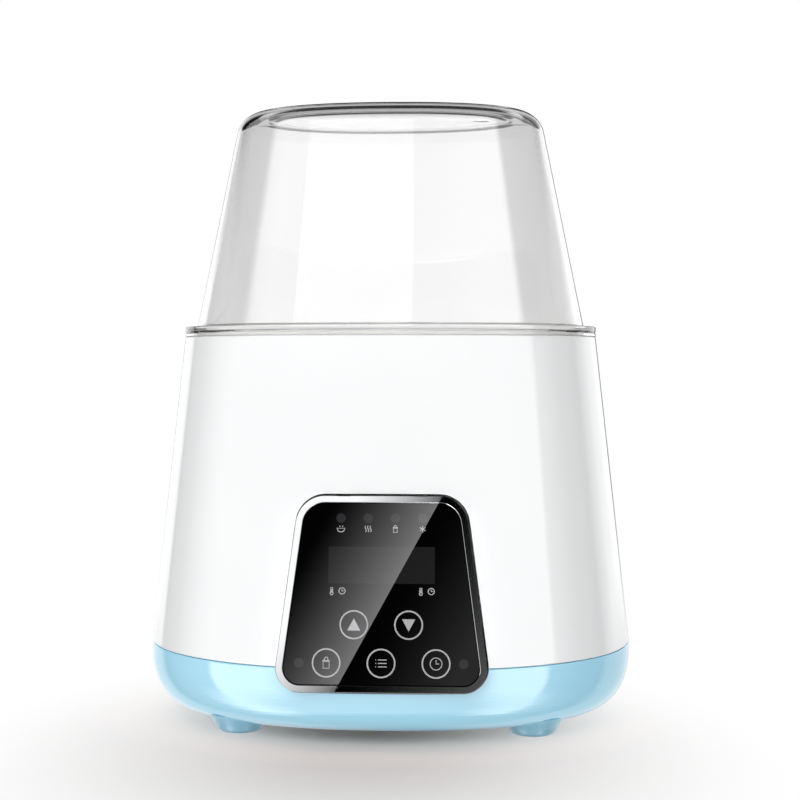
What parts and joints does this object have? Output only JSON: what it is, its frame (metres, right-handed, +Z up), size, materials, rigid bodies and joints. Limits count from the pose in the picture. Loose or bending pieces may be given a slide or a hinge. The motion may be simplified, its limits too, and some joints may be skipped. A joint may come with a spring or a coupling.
{
  "type": "bottle sterilizer and warmer",
  "caption": "Countertop steam sterilizer and warmer for feeding bottles: flared oval housing on a bowl base, clear lift-off cover, heated well with lift-out basket, front touch panel.",
  "frame": {"origin": "on the floor under the middle of the body", "axes": "+Z up, front panel towards -Y, +X to the right seen from the front"},
  "size_m": [0.1856, 0.1427, 0.2333],
  "materials": {
    "clear_plastic": "clear moulded plastic, polished",
    "white_gloss": "white moulded plastic, glossy",
    "blue_gloss": "pale blue moulded plastic, glossy",
    "chrome_trim": "bright plated trim",
    "black_glass": "black back-printed touch glass",
    "white_satin": "white moulded polypropylene",
    "smoked_plastic": "dark display window",
    "lamp_plastic": "milky lamp lens",
    "pad_foam": "conductive foam",
    "circuit_board": "green solder mask",
    "black_plastic": "black moulded plastic",
    "steel": "zinc plated steel",
    "cable_grey": "grey insulation",
    "seal_rubber": "grey silicone",
    "coated_plate": "grey non-stick coated aluminium",
    "lead_red": "red insulation",
    "winding_yellow": "tape wound transformer",
    "relay_blue": "blue relay case",
    "terminal_green": "green terminal block",
    "fuse_ivory": "ivory sleeve"
  },
  "bodies": {
    "base": {"housing_shell": "white_gloss", "base_shell": "blue_gloss", "feet": "blue_gloss", "panel_bezel": "chrome_trim", "panel_glass": "black_glass", "light_shroud": "white_satin", "display_module": "smoked_plastic", "indicator_leds": "lamp_plastic", "touch_pads": "pad_foam", "control_board": "circuit_board", "buzzer": "black_plastic", "panel_screws": "steel", "panel_cable": "cable_grey", "water_well": "white_satin", "plate_seal": "seal_rubber", "heating_plate": "coated_plate", "heating_element": "steel", "heater_clamp": "steel", "clamp_screws": "steel", "temperature_sensor": "steel", "thermal_fuse": "fuse_ivory", "heater_leads": "lead_red", "power_board": "circuit_board", "transformer": "winding_yellow", "relay": "relay_blue", "capacitor": "black_plastic", "terminal_block": "terminal_green", "board_screws": "steel", "cord_gland": "black_plastic", "gland_nut": "black_plastic", "tie_screws": "steel"},
    "basket": {"bottle_basket": "white_satin", "bottle_rings": "white_satin", "basket_handle": "white_satin"},
    "cover": {"cover_dome": "clear_plastic"}
  },
  "joints": [
    {"name": "basket_lift", "type": "slide", "parent": "base", "child": "basket", "axis": [0, 0, 1], "range_m": [0, 0.11]},
    {"name": "cover_lift", "type": "slide", "parent": "basket", "child": "cover", "axis": [0, 0, 1], "range_m": [0, 0.12]}
  ]
}
